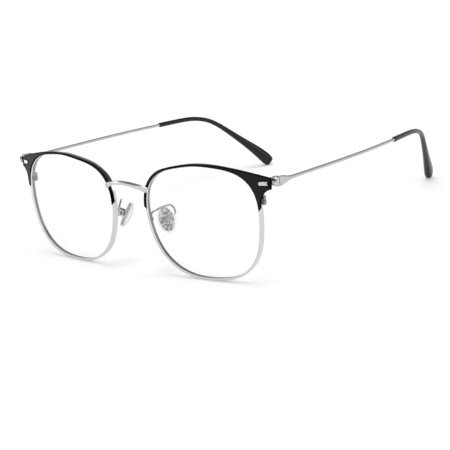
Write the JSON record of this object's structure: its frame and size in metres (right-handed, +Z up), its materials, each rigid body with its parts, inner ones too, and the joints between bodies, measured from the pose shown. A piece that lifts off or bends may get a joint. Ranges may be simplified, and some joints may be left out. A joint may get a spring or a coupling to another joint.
{
  "type": "half rim eyeglasses",
  "caption": "Silver metal browline eyeglasses with black brow trims, arched bridge, clear nose pads and folding thin temples with black tips.",
  "frame": {"origin": "centre of the bounding box's base, on the surface that both rims and both temple tips stand on", "axes": "+X to the wearer's left, -Y the way the front faces, +Y along the temples, +Z up"},
  "size_m": [0.1324, 0.1478, 0.0443],
  "materials": {
    "silver_metal": "polished silver plating on drawn and rolled wire",
    "black_paint": "semi-gloss black paint",
    "black_acetate": "polished black acetate",
    "clear_lens": "clear",
    "clear_silicone": "soft clear silicone",
    "clear_core": "hard clear plastic"
  },
  "bodies": {
    "front": {"left_eyewire": "silver_metal", "left_lens": "clear_lens", "left_brow": "black_paint", "left_inlay": "silver_metal", "left_closing_block_upper": "silver_metal", "left_closing_block_lower": "silver_metal", "left_closing_screw": "silver_metal", "left_endpiece": "silver_metal", "left_front_hinge": "silver_metal", "left_hinge_screw": "silver_metal", "left_pad_arm": "silver_metal", "left_pad_box": "silver_metal", "left_pad_screw": "silver_metal", "right_eyewire": "silver_metal", "right_lens": "clear_lens", "right_brow": "black_paint", "right_inlay": "silver_metal", "right_closing_block_upper": "silver_metal", "right_closing_block_lower": "silver_metal", "right_closing_screw": "silver_metal", "right_endpiece": "silver_metal", "right_front_hinge": "silver_metal", "right_hinge_screw": "silver_metal", "right_pad_arm": "silver_metal", "right_pad_box": "silver_metal", "right_pad_screw": "silver_metal", "bridge": "silver_metal"},
    "left_temple": {"left_temple": "silver_metal", "left_temple_hinge": "silver_metal", "left_temple_tip": "black_acetate"},
    "right_temple": {"right_temple": "silver_metal", "right_temple_hinge": "silver_metal", "right_temple_tip": "black_acetate"},
    "left_pad": {"left_nose_pad": "clear_silicone", "left_pad_core": "clear_core"},
    "right_pad": {"right_nose_pad": "clear_silicone", "right_pad_core": "clear_core"}
  },
  "joints": [
    {"name": "left_temple_fold", "type": "hinge", "parent": "front", "child": "left_temple", "pos_m": [0.06338, -0.06023, 0.03804], "axis": [0, 0.0184, 0.9998], "range_deg": [0, 84]},
    {"name": "right_temple_fold", "type": "hinge", "parent": "front", "child": "right_temple", "pos_m": [-0.06338, -0.06023, 0.03804], "axis": [0, -0.0184, -0.9998], "range_deg": [0, 78]},
    {"name": "left_pad_rock", "type": "hinge", "parent": "front", "child": "left_pad", "pos_m": [0.01214, -0.06313, 0.02018], "axis": [0.4695, 0.8828, -0.0163], "range_deg": [-8, 8]},
    {"name": "right_pad_rock", "type": "hinge", "parent": "front", "child": "right_pad", "pos_m": [-0.01214, -0.06313, 0.02018], "axis": [-0.4695, 0.8828, -0.0163], "range_deg": [-8, 8]}
  ]
}
